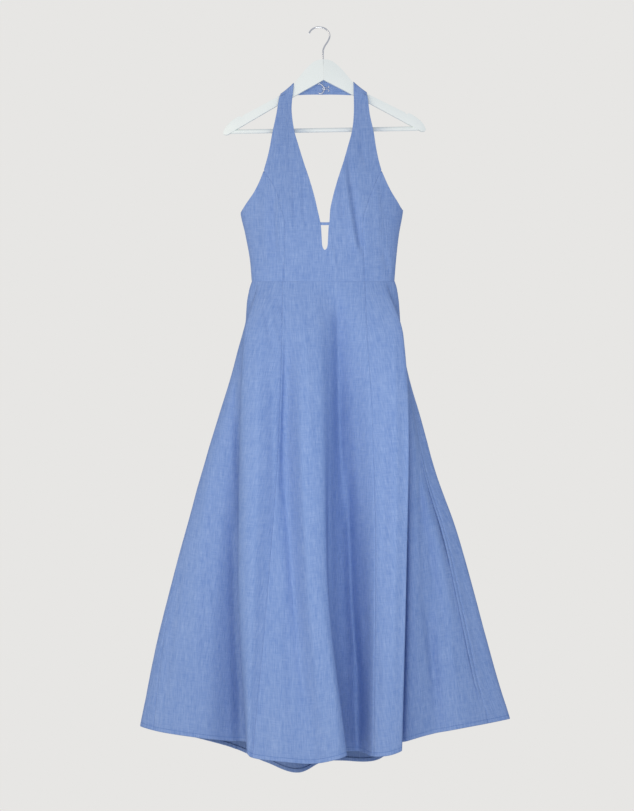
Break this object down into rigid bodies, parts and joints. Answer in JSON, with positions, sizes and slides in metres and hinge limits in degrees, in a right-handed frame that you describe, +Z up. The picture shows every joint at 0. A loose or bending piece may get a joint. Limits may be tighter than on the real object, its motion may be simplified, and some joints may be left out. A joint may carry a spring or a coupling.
{
  "type": "halter dress on a hanger",
  "caption": "Long linen halter dress with princess seams, a keyhole under its deep V and a flared gored skirt, hanging by its straps on a painted wooden hanger.",
  "frame": {"origin": "underside of the crown of the hanger's hook, where a peg or a rail carries it", "axes": "+Z up along the hang, +X to the right as the front is seen, +Y from the front of the dress to its back"},
  "size_m": [0.7981, 0.2218, 1.6125],
  "materials": {
    "linen": "plain-weave linen, matt, with slubs along the grain",
    "white_paint": "satin white paint on wood",
    "hook_chrome": "polished chromed wire",
    "silver_wire": "bright nickel-plated wire"
  },
  "bodies": {
    "root": {"bodice_centre_front": "linen", "bodice_side_front_left": "linen", "bodice_side_front_right": "linen", "bodice_back": "linen", "keyhole_bar": "linen", "skirt_centre_front": "linen", "skirt_side_front_left": "linen", "skirt_side_front_right": "linen", "skirt_side_back_left": "linen", "skirt_side_back_right": "linen", "skirt_centre_back": "linen", "neck_eye": "silver_wire", "neck_hook": "silver_wire", "hanger_arm_left": "white_paint", "hanger_arm_right": "white_paint", "hanger_bar": "white_paint", "hanger_hook": "hook_chrome"}
  },
  "joints": []
}
